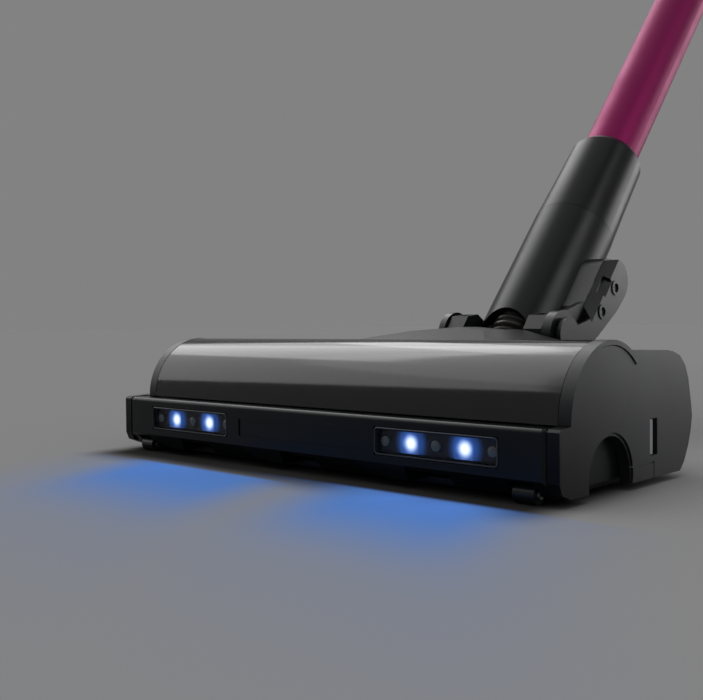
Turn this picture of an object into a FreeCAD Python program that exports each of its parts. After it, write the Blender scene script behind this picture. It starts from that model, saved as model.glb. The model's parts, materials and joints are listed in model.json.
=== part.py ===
import FreeCAD, Part
import math
import os
import re

import Sketcher

# Cordless stick vacuum, millimetres, +Z up, -Y the front of the floor head, +X its right end.
# The origin lies on the floor, straight below the tilt hinge of the neck.
# Everything above the hinge is drawn upright about the hinge and then leaned back by wand_lean.

Vector = FreeCAD.Vector

os.makedirs("parts", exist_ok=True)
doc = FreeCAD.newDocument("StickVacuum")
sheet = doc.addObject("Spreadsheet::Sheet", "Dims")

DIMENSIONS = {
    # floor head
    "bumper_half": 125.3, "cover_half": 122, "cover_left": 113, "cover_right": 125.5,
    "belt_wall": 118.9, "panel_half": 130.5, "panel_thick": 4.9,
    "front_y": -160, "bumper_back": -150.3, "bumper_low": 3, "bumper_high": 27.8,
    "base_low": 4.8, "sole_low": 2, "sole_thick": 2.5, "wall": 2.4, "gap": 0.3,
    "roll_y": -123, "cover_z": 28.5, "cover_radius": 29.4, "ring_radius": 29.5, "cover_wall": 2,
    "roll_z": 27.5, "bristle_radius": 26.8, "core_radius": 19, "shaft_radius": 4,
    "chamber_back": -94, "roof_front": -103.5, "roof_high": 52.6, "roof_back": -56,
    "motor_y": -76, "motor_z": 24, "motor_radius": 14,
    "window_in": 46, "window_out": 106, "window_low": 12.3, "window_high": 23.8,
    "arch_radius": 15.5, "arch_z": 7,
    "dome_half": 52, "dome_back": -16, "tray_half": 33, "tray_high": 40, "tray_back": 14,
    "wheel_radius": 11, "front_roller_radius": 3.6,
    # neck and hinge
    "hinge_z": 58, "wand_lean": 41, "lug_radius": 12, "lug_in": 20, "lug_out": 31,
    "pin_radius": 4, "barrel_radius": 13, "barrel_out": 42, "barrel_out_left": 36,
    "trough_radius": 26,
    "tube_offset": 16, "neck_radius": 24.5, "neck_bore": 21, "neck_low": 14, "seam": 96,
    "collar_radius": 23.3, "collar_top": 161, "hose_radius": 13.5, "hose_offset": 9,
    # wand and hand unit
    "wand_radius": 17.6, "wand_wall": 1.6, "wand_low": 96, "wand_high": 770,
    "socket_radius": 22.5, "socket_low": 755, "socket_high": 832,
    "bin_y": -51, "bin_radius": 42, "bin_low": 820, "bin_high": 915,
    "body_radius": 44, "body_high": 1035, "grip_half": 15, "grip_low": 905.3,
    "button_radius": 6, "jack_radius": 3,
}
for row, (alias, value) in enumerate(DIMENSIONS.items(), start=1):
    sheet.set(f"A{row}", alias)
    sheet.set(f"B{row}", str(value))
    sheet.setAlias(f"B{row}", alias)
doc.recompute()

ALIAS = re.compile(r"\b(" + "|".join(sorted(DIMENSIONS, key=len, reverse=True)) + r")\b")
NODES = {}


def bound(expression):
    """The expression with every dimension's name pointed at the sheet."""
    return ALIAS.sub(r"Dims.\1", str(expression))


def number(expression):
    return float(sheet.evalExpression(bound(expression)))


def bind(thing, path, expression):
    thing.setExpression(path, bound(expression))


def fresh(prefix):
    return f"{prefix}_{len(doc.Objects)}"


def move(thing, x=0, y=0, z=0):
    for axis, expression in zip("xyz", (x, y, z)):
        bind(thing, f"Placement.Base.{axis}", expression)


def box(x0, x1, y0, y1, z0, z1):
    """A block between two corners."""
    block = doc.addObject("Part::Box", fresh("box"))
    bind(block, "Length", f"({x1}) - ({x0})")
    bind(block, "Width", f"({y1}) - ({y0})")
    bind(block, "Height", f"({z1}) - ({z0})")
    move(block, x0, y0, z0)
    return block


AXIS_TURN = {"x": (Vector(0, 1, 0), 90), "y": (Vector(1, 0, 0), -90), "z": (Vector(0, 0, 1), 0)}


def rod(axis, radius, start, end, u, v):
    """A cylinder along an axis; u and v are its other two coordinates in x, y, z order."""
    cylinder = doc.addObject("Part::Cylinder", fresh("rod"))
    turn_axis, angle = AXIS_TURN[axis]
    cylinder.Placement = FreeCAD.Placement(Vector(), FreeCAD.Rotation(turn_axis, angle))
    bind(cylinder, "Radius", radius)
    bind(cylinder, "Height", f"({end}) - ({start})")
    place = {"x": (start, u, v), "y": (u, start, v), "z": (u, v, start)}[axis]
    move(cylinder, *place)
    return cylinder


def fuse(*pieces):
    joined = doc.addObject("Part::MultiFuse", fresh("fuse"))
    joined.Shapes = list(pieces)
    return joined


def cut(base, *tools):
    result = doc.addObject("Part::Cut", fresh("cut"))
    result.Base = base
    result.Tool = tools[0] if len(tools) == 1 else fuse(*tools)
    return result


def group(*pieces):
    """Separate solids that share one node."""
    together = doc.addObject("Part::Compound", fresh("group"))
    together.Links = list(pieces)
    return together


def ring(axis, outer, inner, start, end, u, v):
    return cut(rod(axis, outer, start, end, u, v),
               rod(axis, inner, f"({start}) - 1", f"({end}) + 1", u, v))


def attach_sketch(body, plane_role, offset):
    sketch = body.newObject("Sketcher::SketchObject", fresh("sketch"))
    plane = [f for f in body.Origin.OriginFeatures if f.Role == plane_role][0]
    sketch.AttachmentSupport = [(plane, "")]
    sketch.MapMode = "FlatFace"
    bind(sketch, "AttachmentOffset.Base.z", offset)
    return sketch


def draw_outline(sketch, points):
    """A closed outline whose every corner is held by two bound distances."""
    first = sketch.GeometryCount
    corners = [Vector(number(u), number(v), 0) for u, v in points]
    for index, corner in enumerate(corners):
        sketch.addGeometry(Part.LineSegment(corner, corners[(index + 1) % len(corners)]))
    for index, point in enumerate(points):
        before = first + (index - 1) % len(points)
        here = first + index
        sketch.addConstraint(Sketcher.Constraint("Coincident", before, 2, here, 1))
        for kind, expression in zip(("DistanceX", "DistanceY"), point):
            held = Sketcher.Constraint(kind, -1, 1, here, 1, number(expression))
            name = f"{kind[-1].lower()}{here}"
            sketch.renameConstraint(sketch.addConstraint(held), name)
            bind(sketch, f"Constraints.{name}", expression)


def pad(plane_role, outlines, start, length):
    """A PartDesign pad of one or more outlines, the first the outer one."""
    body = doc.addObject("PartDesign::Body", fresh("body"))
    sketch = attach_sketch(body, plane_role, start)
    for outline in outlines:
        draw_outline(sketch, outline)
    feature = body.newObject("PartDesign::Pad", fresh("pad"))
    feature.Profile = sketch
    bind(feature, "Length", length)
    return body


def turned(points, axis="V_Axis"):
    """A PartDesign revolution about Z of an outline in radius and height."""
    body = doc.addObject("PartDesign::Body", fresh("body"))
    sketch = attach_sketch(body, "XZ_Plane", 0)
    draw_outline(sketch, points)
    feature = body.newObject("PartDesign::Revolution", fresh("turn"))
    feature.Profile = sketch
    feature.ReferenceAxis = (sketch, [axis])
    feature.Angle = 360
    return body


def round_edges(body, radius, chosen):
    """A PartDesign fillet on the edges that the test picks."""
    doc.recompute()
    names = [f"Edge{i + 1}" for i, edge in enumerate(body.Shape.Edges) if chosen(edge)]
    rounded = body.Tip
    feature = body.newObject("PartDesign::Fillet", fresh("round"))
    feature.Base = (rounded, names)
    bind(feature, "Radius", radius)
    doc.recompute()
    return body


def mirror(piece):
    """The same piece on the other side of the middle plane."""
    other = doc.addObject("Part::Mirroring", fresh("mirror"))
    other.Source = piece
    other.Normal = Vector(1, 0, 0)
    return other


def node(name, piece):
    """A finished piece of the floor head, in place."""
    piece.Label = name
    NODES[name] = piece
    return piece


def leaned(name, piece):
    """A finished piece above the hinge: carried to the hinge and leaned back."""
    if piece.TypeId in ("Part::Box", "Part::Cylinder"):
        piece = group(piece)
    piece.Placement = FreeCAD.Placement(Vector(), FreeCAD.Rotation(Vector(1, 0, 0), -1))
    bind(piece, "Placement.Rotation.Angle", "-wand_lean")
    bind(piece, "Placement.Base.z", "hinge_z")
    return node(name, piece)


def shell_disc(low, x0, x1, radius):
    """A half disc standing on a block down to the chassis: the end shape of the brush chamber."""
    disc = cut(rod("x", radius, x0, x1, "roll_y", "cover_z"),
               box(f"({x0}) - 1", f"({x1}) + 1", "roll_y - 40", "roll_y + 40", "-20", "cover_z"))
    foot = box(x0, x1, "roll_y - 27", "chamber_back", low, "cover_z")
    return fuse(disc, foot)


def half_ring(outer, inner, x0, x1):
    """The upper front part of a ring about the brush axis, cut off where the roof begins."""
    return cut(ring("x", outer, inner, x0, x1, "roll_y", "cover_z"),
               box(f"({x0}) - 2", f"({x1}) + 2", "roll_y - 50", "roll_y + 50", "-20", "cover_z"),
               box(f"({x0}) - 2", f"({x1}) + 2", "roof_front - gap", "roll_y + 50", "-20", "80"))


# --- floor head: chassis and sole ---------------------------------------------------------------

def head_base():
    back, low = "chamber_back", "base_low"
    inner_low = "base_low + wall"
    outline = [(back, low), ("roof_back - 2.8", low), ("roof_back - 2.8", "19.7"),
               ("roof_back - 5", "19.7"), ("roof_back - 5", inner_low),
               ("chamber_back + wall", inner_low), ("chamber_back + wall", "roof_high - 3.3"),
               (back, "roof_high - 3.3")]
    channel = pad("YZ_Plane", [outline], "-112", "230")
    left_wall = shell_disc(low, "-112", "-108", "27")
    right_wall = shell_disc(low, "112", "118", "27")
    return cut(fuse(channel, left_wall, right_wall),
               rod("x", "8", "-125", "125", "roll_y", "roll_z"),
               box("-28", "28", "chamber_back - 5", "roof_back + 5", "14", "44"),
               box("-dome_half - 1", "dome_half + 1", "chamber_back - 1", "chamber_back + 4",
                   "48.8", "60"),
               rod("x", "7", "-120", "-107", "motor_y", "motor_z"))


def sole_plate():
    low, high = "sole_low", "sole_low + sole_thick"
    plate = box("-belt_wall - 3", "cover_half", "bumper_back + gap", "roof_back - 2", low, high)
    tail = box("-tray_half", "tray_half", "roof_back - 3", "tray_back - 3", low, high)
    roll_gap = box("-107.5", "111", "roll_y - 25", "roll_y + 25.5", "sole_low - 1", "8")
    roller_gaps = [box(x0, x1, "front_y + 1", "front_y + 13", "0", "8")
                   for x0, x1 in (("-120", "-109"), ("109", "120"))]
    pad_gap = box("-20", "20", "-8", "8", "0", "8")
    return cut(fuse(plate, tail), roll_gap, pad_gap, *roller_gaps)


def top_housing():
    front, high, back = "roof_front", "roof_high", "roof_back"
    outline = [(front, "48.4"), (front, "51.4"), ("roof_front + 7", high),
               ("roof_back - 8", high), (back, "roof_high - 5"), (back, "20"),
               ("roof_back - 2.5", "20"), ("roof_back - 2.5", "roof_high - 6.6"),
               ("roof_back - 9", "roof_high - 2.8"), ("roof_front + 8", "roof_high - 2.8"),
               ("roof_front + 2.5", "48.9")]
    shell = pad("YZ_Plane", [outline], "-belt_wall - 3", "belt_wall + 3 + cover_right - 0.2")
    return cut(shell, box("-dome_half - gap", "dome_half + gap", "roof_front + 5.8", "0", "0", "90"))


def dome(shrink, front, low):
    """A low dome that rises from its front edge to its crest, drawn in by shrink."""
    line = [("dome_half", 51.7), ("dome_half - 8", 56), ("dome_half / 2 - 2", 60.8)]
    right = [(f"{u} - {shrink}", f"{v} - {shrink}") for u, v in line]
    left = [(f"-({u})", v) for u, v in right]
    corners = [(f"dome_half - {shrink}", low), (f"-(dome_half - {shrink})", low)]
    section = left + [("0", f"62.7 - {shrink}")] + right[::-1] + corners
    solid = pad("XZ_Plane", [section], f"-(dome_back - {shrink})",
                f"dome_back - {shrink} - ({front})")
    above = [("roof_front", f"52 - {shrink}"), ("-42", f"62.8 - {shrink}"), ("-42", "90"),
             ("roof_front", "90")]
    return cut(solid, pad("YZ_Plane", [above], "-60", "120"))


def rear_housing():
    front = "roof_front + 6"
    roof = cut(dome("0", front, "49.3"), dome("wall", f"{front} + wall", "40"))
    end_wall = box("-dome_half", "dome_half", "dome_back - wall", "dome_back", "tray_high + gap",
                   "50")
    skirts = [box(x0, x1, "roof_back + gap", "dome_back", "20", "51.7")
              for x0, x1 in (("-dome_half", "-dome_half + wall"), ("dome_half - wall", "dome_half"))]
    return cut(fuse(roof, end_wall, *skirts),
               rod("x", "trough_radius", "-19", "19", "0", "hinge_z"))


# The hinge lugs seen along the hinge, as corners about its axis.
LUG_FLATS = ((-11.5, -8), (-11.5, 3.5), (-6, 10.8), (3.5, 11.8), (8.6, 8.6), (11.8, 2), (9, -8))


def rear_tray():
    wide = box("-dome_half + wall + gap", "dome_half - wall - gap", "roof_back - 2.2",
               "dome_back - 2.7", "base_low", "tray_high")
    narrow = box("-tray_half", "tray_half", "dome_back - 3", "tray_back", "base_low", "tray_high")
    lugs = []
    for x0, x1 in (("-lug_out", "-lug_in"), ("lug_in", "lug_out")):
        lugs.append(box(x0, x1, "-8", "8", "tray_high - 1", "hinge_z"))
        flats = [(f"{u}", f"hinge_z + {v}") for u, v in LUG_FLATS]
        lugs.append(pad("YZ_Plane", [flats], x0, "lug_out - lug_in"))
    plenum = box("-dome_half + 2 * wall + gap", "dome_half - 2 * wall - gap", "roof_back - 5",
                 "dome_back - 5", "base_low + wall", "tray_high + 5")
    pockets = [box(x0, x1, "-5", "2.5", "hinge_z + 9", "90")
               for x0, x1 in (("-28", "-22.5"), ("22.5", "28"))]
    throat = box("-18", "18", "dome_back - 6", "tray_back - wall", "18", "tray_high + 5")
    trough = rod("x", "trough_radius", "-19", "19", "0", "hinge_z")
    pin_bore = rod("x", "pin_radius", "-50", "50", "0", "hinge_z")
    axle_bore = rod("x", "2.5", "-50", "50", "0", "wheel_radius")
    return cut(fuse(wide, narrow, *lugs), plenum, throat, trough, pin_bore, axle_bore,
               *pockets)


# --- floor head: front, cover and ends ----------------------------------------------------------

def window_box(side, y0, y1, shrink):
    """The space of one light window; side is 1 for the right one."""
    near, far = f"window_in + {shrink}", f"window_out - {shrink}"
    x0, x1 = (near, far) if side > 0 else (f"-({far})", f"-({near})")
    return box(x0, x1, y0, y1, f"window_low + {shrink}", f"window_high - {shrink}")


INTAKES = (-72, 0, 72)


def slope(rise_to, depth):
    """A cutter that leans the lower part of the bumper's face back."""
    outline = [("front_y - 1", "0"), ("front_y - 1", rise_to), ("front_y", rise_to),
               (f"front_y + {depth}", "bumper_low - 0.1"), (f"front_y + {depth}", "0")]
    return pad("YZ_Plane", [outline], "-bumper_half - 1", "2 * bumper_half + 2")


def front_bumper():
    corner = "bumper_half - 1.6"
    outline = [("-bumper_half", "bumper_back"), ("-bumper_half", "front_y + 1.6"),
               (f"-({corner})", "front_y"), (corner, "front_y"),
               ("bumper_half", "front_y + 1.6"), ("bumper_half", "bumper_back")]
    bar = pad("XY_Plane", [outline], "bumper_low", "bumper_high - bumper_low")

    def is_top_front(edge):
        bounds = edge.BoundBox
        on_top = bounds.ZMin > number("bumper_high") - 0.1
        return on_top and bounds.Center.y < number("bumper_back") - 0.5
    round_edges(bar, "1.8", is_top_front)
    hulls = []
    for intake in INTAKES:
        end = intake - 10
        hull = [(f"{end - 28}", "9.3"), (f"{end}", "9.3"), (f"{end}", "bumper_low + 0.2"),
                (f"{end - 8}", "bumper_low"), (f"{end - 17}", "bumper_low + 1.5"),
                (f"{end - 24}", "bumper_low + 3.8")]
        hulls.append(pad("XZ_Plane", [hull], "-bumper_back", "bumper_back - front_y"))
    shape = fuse(cut(bar, slope("9.3", "6.5")), *[cut(hull, slope("9.3", "2.4"))
                                                  for hull in hulls])
    windows = [window_box(side, "front_y - 1", "front_y + 2.2", "0") for side in (-1, 1)]
    wells = [window_box(side, "front_y + 2", "front_y + 6.5", "1.5") for side in (-1, 1)]
    middle = box("-37.7", "37.7", "front_y - 1", "front_y + 0.5", "13.8", "21.6")
    intakes = [box(f"{x - 10}", f"{x + 10}", "front_y - 1", "bumper_back + 1", "0", "7.5")
               for x in INTAKES]
    roller_wells = [box(x0, x1, "front_y + 1", "front_y + 14", "0", "9.6")
                    for x0, x1 in (("-120", "-109"), ("109", "120"))]
    return cut(shape, middle, *windows, *wells, *intakes, *roller_wells)


def led_windows():
    return group(*[window_box(side, "front_y + 0.4", "front_y + 2", "0.2") for side in (-1, 1)])


LED_PLACES = (50, 63, 75.5, 89, 101.7)


def led_boards():
    boards = [window_box(side, "front_y + 5.2", "front_y + 6.4", "1.8") for side in (-1, 1)]
    chips = [rod("y", "2.2", "front_y + 3.4", "front_y + 5.2", f"{side * place}", "17.8")
             for side in (-1, 1) for place in LED_PLACES]
    boards = [fuse(board, *chips[5 * index:5 * index + 5]) for index, board in enumerate(boards)]
    return group(*boards)


def roller_cover():
    return half_ring("cover_radius", "cover_radius - cover_wall", "-cover_left", "cover_right")


def cover_ring_left():
    return half_ring("ring_radius", "27.6", "-belt_wall + gap", "-cover_left - gap")


def cover_ring_right():
    return half_ring("ring_radius", "27.6", "cover_right + gap", "panel_half + 0.5")


def belt_cover():
    """The wall outside the drive belt."""
    return shell_disc("base_low", "-belt_wall - 3", "-belt_wall", "27.2")


def brush_end_cap():
    """The wall that closes the right end of the brush chamber under the cover."""
    return shell_disc("base_low", "cover_half + gap", "cover_half + 3.3", "27.2")


FRONT_EDGE = [("-152", "bumper_low"), ("front_y + 2.2", "bumper_low + 2.2"),
              ("front_y + 0.6", "bumper_low + 6"), ("front_y + 0.6", "bumper_high - 1"),
              ("front_y + 1.6", "bumper_high")]
REAR_EDGE = [("-104", "53.4"), ("-72", "52.6"), ("-65", "50.5"), ("-60", "46.5"), ("-57", "41"),
             ("-54.4", "31"), ("-53.3", "25"), ("-54.6", "19"), ("-57", "13"), ("-61", "6.5"),
             ("-65", "3")]


def side_panel_left():
    outline = FRONT_EDGE + [("-144", "28.5"), ("-138", "38"), ("-124", "50"),
                            ("-110", "54")] + REAR_EDGE
    plate = pad("YZ_Plane", [outline], "-panel_half", "panel_half - belt_wall - 3 - gap")
    return cut(plate, box("-panel_half + panel_thick", "-110", "-170", "bumper_back + gap", "0",
                          "60"))


def side_panel_right():
    """The right end: its round part sits inside the ring and its foot has an arched opening."""
    outline = FRONT_EDGE + [("-150", "28.5"), ("-123", "40"), ("-110", "54.2")] + REAR_EDGE
    plate = pad("YZ_Plane", [outline], "panel_half - panel_thick", "panel_thick")
    disc = cut(rod("x", "27.3", "panel_half - panel_thick", "panel_half", "roll_y", "cover_z"),
               box("120", "140", "-170", "-80", "-20", "cover_z"))
    track = cut(ring("x", "ring_radius + gap", "27.3", "120", "140", "roll_y", "cover_z"),
                box("110", "150", "-170", "-80", "-20", "cover_z"),
                box("110", "150", "roof_front", "-60", "-20", "80"))
    arch = rod("x", "arch_radius", "120", "140", "roll_y", "arch_z")
    mouth = box("120", "140", "roll_y - arch_radius", "roll_y + arch_radius", "0", "arch_z")
    rim = rod("x", "arch_radius + 1.3", "panel_half - 0.7", "140", "roll_y", "arch_z")
    slot = box("120", "140", "-92.2", "-85.8", "12", "26.5")
    top_line = box("panel_half - 0.6", "140", "-106.8", "-88.4", "8.9", "9.5")
    end_line = box("panel_half - 0.6", "140", "-89", "-88.4", "0", "9.5")
    return cut(fuse(plate, disc), track, arch, rim, mouth, slot, top_line, end_line)


def brush_latch():
    knob = box("panel_half - 7", "panel_half - 0.4", "-91.9", "-89.1", "12.4", "26.1")
    flange = box("panel_half - 7.1", "panel_half - 5.2", "-93.7", "-86.5", "10.5", "28")
    return fuse(knob, flange)


# --- floor head: brush roll and drive -----------------------------------------------------------

BELT_X = ("-118.5", "-113.5")


def brush_core():
    core = ring("x", "core_radius", "core_radius - 2.5", "-107", "111", "roll_y", "roll_z")
    hubs = [rod("x", "core_radius - 1", x0, x1, "roll_y", "roll_z")
            for x0, x1 in (("-107", "-103"), ("107", "111"))]
    shaft = rod("x", "shaft_radius - 0.06", "-belt_wall + gap", "117.7", "roll_y", "roll_z")
    pulley = rod("x", "12", *BELT_X, "roll_y", "roll_z")
    return fuse(core, shaft, pulley, *hubs)


def brush_bristles():
    """Rows of bristle stood on the core, each a plain strip."""
    strip = box("-105", "109", "-1.6", "1.6", "core_radius - 0.02", "bristle_radius")
    rows = []
    for index in range(8):
        row = doc.addObject("Part::Compound", fresh("row"))
        row.Links = [strip]
        row.Placement = FreeCAD.Placement(Vector(), FreeCAD.Rotation(Vector(1, 0, 0), 45 * index))
        move(row, 0, "roll_y", "roll_z")
        rows.append(row)
    return cut(group(*rows), rod("x", "core_radius + 0.02", "-110", "112", "roll_y", "roll_z"))


def brush_bearings():
    spans = (("-111.9", "-108.1"), ("112.2", "117.5"))
    return group(*[ring("x", "8", "shaft_radius", x0, x1, "roll_y", "roll_z") for x0, x1 in spans])


def brush_motor():
    can = rod("x", "motor_radius", "-104", "-57", "motor_y", "motor_z")
    foot = box("-100", "-60", "motor_y - 9", "motor_y + 9", "base_low + wall", "motor_z")
    hollow = rod("x", "motor_radius - 2", "-102", "-59", "motor_y", "motor_z")
    eye = rod("x", "2.06", "-110", "-101", "motor_y", "motor_z")
    return cut(fuse(can, foot), hollow, eye)


def motor_pulley():
    wheel = rod("x", "6", *BELT_X, "motor_y", "motor_z")
    shaft = rod("x", "2", "-113.6", "-98", "motor_y", "motor_z")
    rotor = rod("x", "motor_radius - 3", "-98.5", "-62", "motor_y", "motor_z")
    return fuse(wheel, shaft, rotor)


def drive_belt():
    """The belt runs along the two outer tangents of its pulleys."""
    clear, thick = 0.3, 1.6
    roll = Vector(0, number("roll_y"), number("roll_z"))
    motor = Vector(0, number("motor_y"), number("motor_z"))
    x0, x1 = (float(x) for x in BELT_X)

    def hull(extra):
        big, small = 12 + extra, 6 + extra
        along = motor - roll
        reach = along.Length
        along.normalize()
        up = Vector(1, 0, 0).cross(along)
        slope = (big - small) / reach
        rise = math.sqrt(1 - slope * slope)
        upper = along * slope + up * rise
        lower = along * slope - up * rise
        corners = [roll + upper * big, motor + upper * small, motor + lower * small,
                   roll + lower * big]
        face = Part.Face(Part.makePolygon(corners + corners[:1]))
        middle = face.extrude(Vector(x1 - x0, 0, 0))
        ends = [Part.makeCylinder(radius, x1 - x0, centre, Vector(1, 0, 0))
                for radius, centre in ((big, roll), (small, motor))]
        return middle.fuse(ends)
    belt = doc.addObject("Part::Feature", fresh("belt"))
    belt.Shape = hull(clear + thick).cut(hull(clear))
    belt.Placement = FreeCAD.Placement(Vector(x0, 0, 0), FreeCAD.Rotation())
    return belt


# --- floor head: wheels, pins, screws -----------------------------------------------------------

def rear_wheel(side):
    x0, x1 = ("tray_half + 1.2", "tray_half + 12") if side > 0 else ("-tray_half - 12", "-tray_half - 1.2")
    tyre = ring("x", "wheel_radius", "2.56", x0, x1, "0", "wheel_radius")
    return tyre


def front_roller(side):
    x0, x1 = ("110", "119") if side > 0 else ("-119", "-110")
    return ring("x", "front_roller_radius", "1.56", x0, x1, "front_y + 6", "front_roller_radius")


def wheel_axles():
    rear = rod("x", "2.5", "-tray_half - 13", "tray_half + 13", "0", "wheel_radius")
    fronts = [rod("x", "1.5", x0, x1, "front_y + 6", "front_roller_radius")
              for x0, x1 in (("-120", "-109"), ("109", "120"))]
    return group(rear, *fronts)


def sole_screws():
    places = [(x, y) for x in (-100, -36, 36, 100) for y in (-88, -66)]
    return group(*[rod("z", "2.4", "1.6", "sole_low", f"{x}", f"{y}") for x, y in places])


def rear_glide_pad():
    return box("-19", "19", "-7", "7", "0", "base_low")


def hinge_pins():
    return group(rod("x", "pin_radius", "-barrel_out_left", "-19.5", "0", "hinge_z"),
                 rod("x", "pin_radius", "19.5", "barrel_out - 3.5", "0", "hinge_z"))


# --- neck, drawn upright with the hinge at the origin -------------------------------------------

def neck_tube():
    full = ring("z", "neck_radius", "neck_bore", "neck_low", "seam - gap", "0", "tube_offset")
    apron_ring = ring("z", "neck_radius", "neck_bore", "0", "neck_low + 0.1", "0", "tube_offset")
    apron = cut(apron_ring, box("-40", "40", "7", "60", "-10", "neck_low + 5"))
    arch = rod("y", "18.5", "-30", "8", "0", "-5.5")
    lugs = [rod("x", "lug_radius + 1.6", x0, x1, "0", "0")
            for x0, x1 in (("-lug_out - 1", "-lug_in + 1"), ("lug_in - 1", "lug_out + 1"))]
    return cut(fuse(full, apron), arch, *lugs)


# Each hinge arm: outer face, end of its barrel, thickness of its cover, where its front lies, and
# the middle, height and radius of its crown.
ARM_RIGHT = {"outer": "36", "barrel": "barrel_out - 4.5", "thick": "5.5", "front": 7,
             "crown": (20, 57, 13)}
ARM_LEFT = {"outer": "33.5", "barrel": "barrel_out_left", "thick": "2.5", "front": 22,
            "crown": (28, 44, 6)}


def screw_places(arm):
    middle, top, radius = arm["crown"]
    return ((middle + 0.5, top - 5), (middle - 2 if radius > 10 else middle + 0.5, top - 25))


def arm_outline(arm, shrink):
    middle, top, radius = arm["crown"]
    front, back = arm["front"] + shrink, middle + radius - shrink
    return [(f"{u}", f"{v}") for u, v in
            ((front, 27 + shrink), (front, top), (back, top), (back - 1.5, top - 13),
             (back - 9 if radius > 10 else back, 17 + shrink), (front + 7, 17 + shrink))]


def yoke(arm):
    """One hinge arm, drawn on the right."""
    middle, top, radius = arm["crown"]
    plate = pad("YZ_Plane", [arm_outline(arm, 0)], "22", f"{arm['outer']} - 22")
    crown = rod("x", f"{radius}", "22", arm["outer"], f"{middle}", f"{top}")
    link = pad("YZ_Plane", [[("-6", "-4"), ("-4", "14"), (f"{arm['front']}", "30"),
                             (f"{arm['front'] + 14}", "30"), (f"{arm['front'] + 14}", "18"),
                             ("8", "-6")]], "lug_out + 1", f"{arm['outer']} - lug_out - 1")
    barrel = rod("x", "barrel_radius", "lug_out + 1", arm["barrel"], "0", "0")
    pieces = [plate, crown, barrel] + ([link] if radius > 10 else left_link(arm))
    return cut(fuse(*pieces),
               rod("z", "neck_radius", "-30", "90", "0", "tube_offset"),
               rod("x", "lug_radius + 1.6", "10", "lug_out + 1", "0", "0"),
               rod("x", "pin_radius + 0.06", "10", "60", "0", "0"))


def left_link(arm):
    """The narrow arm's foot runs outside the lug, down to its barrel."""
    start = "lug_out + 1"
    upper = [("-6", "2"), ("6", "11"), ("22", "30"), ("33", "30"), ("33", "17"), ("20", "17"),
             ("12", "6"), ("8", "-4")]
    lower = [("-6", "2"), ("6", "11"), ("13", "16.6"), ("19.5", "16.6"), ("12", "6"),
             ("8", "-4")]
    return [pad("YZ_Plane", [upper], start, f"{arm['outer']} - lug_out - 1"),
            pad("YZ_Plane", [lower], start, f"{arm['barrel']} - lug_out - 1")]


def yoke_cover(arm):
    """The outer plate of an arm, with two deep screw wells in raised rims."""
    middle, top, radius = arm["crown"]
    start, end = arm["outer"], f"{arm['outer']} + {arm['thick']}"
    plate = fuse(pad("YZ_Plane", [arm_outline(arm, 1)], start, arm["thick"]),
                 rod("x", f"{radius - 1}", start, end, f"{middle}", f"{top}"))
    if radius > 10:
        leg = pad("YZ_Plane", [[("-5", "-3"), ("2", "8"), ("12", "22"), ("23", "22"),
                                ("22", "14"), ("9", "-5")]], "barrel_out - 3", "2.5")
        foot = rod("x", "9.5", "barrel_out - 3", "barrel_out - 0.5", "0", "0")
        bevel = pad("XY_Plane", [[("35.9", "7.9"), ("45", "7.9"), ("45", "13.6"),
                                  ("41.6", "13.2"), ("36.2", "8.6")]], "20", "60")
        recess = pad("XY_Plane", [[("38", "7"), ("45", "7"), ("45", "15.4"), ("41.6", "15.4"),
                                   ("38", "12.4")]], "40", "12")
        plate = cut(fuse(plate, leg, foot), bevel, recess)
    wells = [rod("x", "2.6", f"{end} - 2", f"{end} + 2", f"{y}", f"{z}")
             for y, z in screw_places(arm)]
    rims = [ring("x", "4.2", "2.6", f"{end} - 1", f"{end} + 0.6", f"{y}", f"{z}")
            for y, z in screw_places(arm)]
    return fuse(cut(plate, *wells), *rims)


def yoke_screws():
    heads = []
    for side, arm in ((1, ARM_RIGHT), (-1, ARM_LEFT)):
        floor_of_well = float(arm["outer"]) + float(arm["thick"]) - 2
        ends = sorted((side * floor_of_well, side * (floor_of_well + 1.2)))
        heads += [rod("x", "2.5", f"{ends[0]}", f"{ends[1]}", f"{y}", f"{z}")
                  for y, z in screw_places(arm)]
    return group(*heads)


def neck_hose():
    """A ribbed sleeve: one step of its outline for each rib and each groove."""
    inner, crest = "hose_radius - 3", "hose_radius"
    bottom, pitch, ribs = -2, 5, 8
    outline = [(inner, f"{bottom + pitch * ribs}"), (inner, f"{bottom}")]
    for index in range(ribs):
        foot = bottom + pitch * index
        outline += [(crest, f"{foot}"), (crest, f"{foot + 2.6}"),
                    ("hose_radius - 1.6", f"{foot + 3}"), ("hose_radius - 1.6", f"{foot + 4.6}")]
    outline.append((crest, f"{bottom + pitch * ribs}"))
    return shifted(turned(outline), "hose_offset")


def shifted(piece, offset="tube_offset"):
    """A turned piece with its own axis set back, as a rule to the axis of the wand."""
    moved = doc.addObject("Part::Compound", fresh("shifted"))
    moved.Links = [piece]
    move(piece, 0, offset, 0)
    return moved


# --- collar and wand ----------------------------------------------------------------------------

def neck_collar():
    bore = "wand_radius + gap"
    sleeve = turned([(bore, "seam - 22"), ("neck_bore - gap", "seam - 22"),
                     ("neck_bore - gap", "seam"), ("neck_radius - 0.1", "seam"),
                     ("collar_radius + 0.2", "seam + 30"), ("collar_radius - 0.5", "collar_top - 4"),
                     ("collar_radius - 3", "collar_top"), (bore, "collar_top")])
    hole = rod("y", "button_radius + gap", "tube_offset + 10", "40", "0", "118")
    return cut(shifted(sleeve), hole)


def head_release_button():
    return rod("y", "button_radius", "tube_offset + 19.8", "tube_offset + 25.5", "0", "118")


def wand_tube():
    return ring("z", "wand_radius", "wand_radius - wand_wall", "wand_low", "wand_high",
                "0", "tube_offset")


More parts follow.
